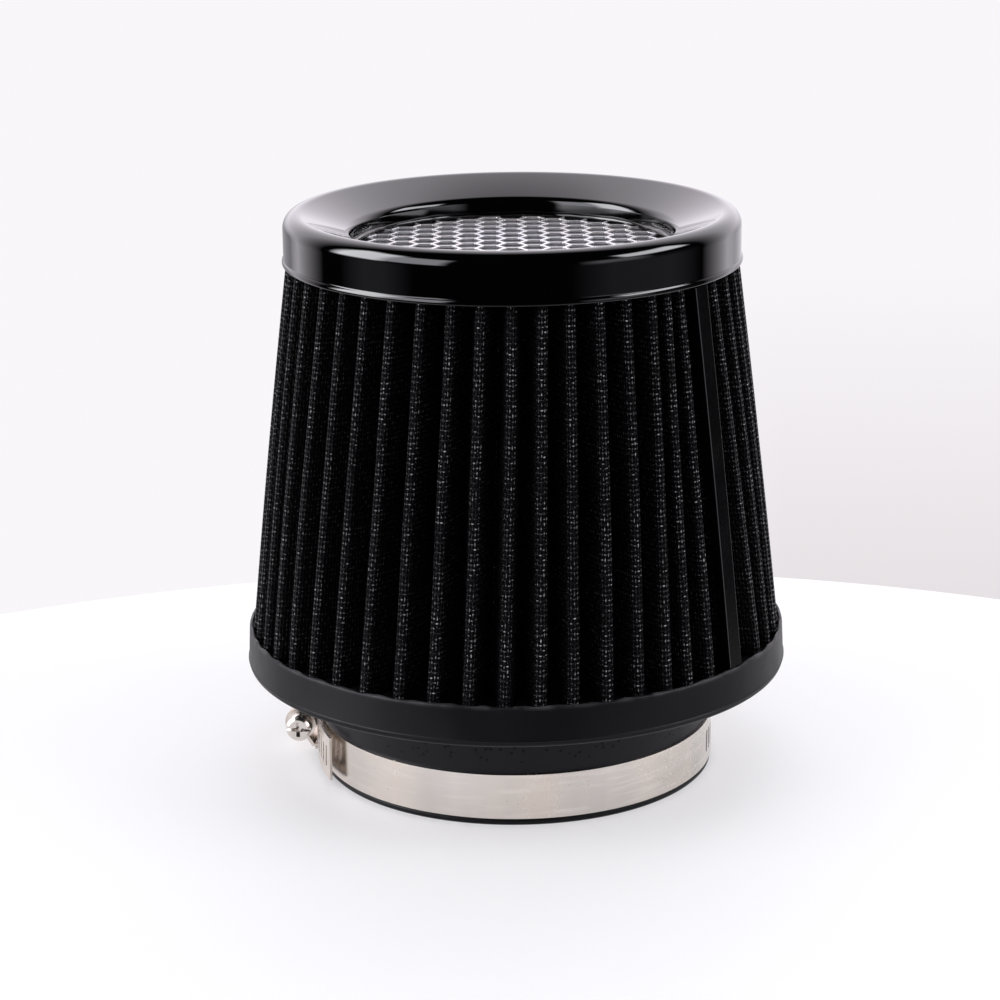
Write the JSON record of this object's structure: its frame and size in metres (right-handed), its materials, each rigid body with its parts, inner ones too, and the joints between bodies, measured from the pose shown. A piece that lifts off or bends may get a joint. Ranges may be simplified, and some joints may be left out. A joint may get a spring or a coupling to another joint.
{
  "type": "cone air filter",
  "caption": "Pleated cone air filter with a soft moulded neck for a worm-drive hose clamp and a vented honeycomb grille in its cap.",
  "frame": {"origin": "centre of the neck's open end, on the plane of its bottom face", "axes": "+Z along the neck's axis towards the cap, -Y towards the front of the picture, +X to its right"},
  "size_m": [0.1528, 0.1528, 0.159],
  "materials": {
    "base_rubber": "matt, slightly satin moulded polyurethane",
    "black_mesh": "black epoxy-coated woven wire",
    "cotton": "dark oiled cotton gauze",
    "strip_black": "satin black with bare edges",
    "cap_gloss": "high gloss black",
    "potting_rubber": "cast polyurethane",
    "grille_metal": "bright satin sheet metal",
    "grey_gauze": "fine grey woven wire",
    "stainless": "bright rolled stainless band",
    "plated_steel": "bright zinc plating"
  },
  "bodies": {
    "filter": {"base": "base_rubber", "outer_screen": "black_mesh", "filter_media": "cotton", "inner_screen": "black_mesh", "seam_clip": "strip_black", "top_cap": "cap_gloss", "top_potting": "potting_rubber", "top_grille": "grille_metal", "top_outer_screen": "grey_gauze", "top_media": "cotton", "top_inner_screen": "grey_gauze", "clamp_band": "stainless", "clamp_saddle": "stainless", "clamp_housing": "stainless"},
    "screw": {"clamp_screw": "plated_steel"}
  },
  "joints": [
    {"name": "screw_turn", "type": "hinge", "parent": "filter", "child": "screw", "pos_m": [-0.06135, 0.00862, 0.00835], "axis": [-0.1392, -0.9903, 0], "range_deg": [-720, 2880]}
  ]
}
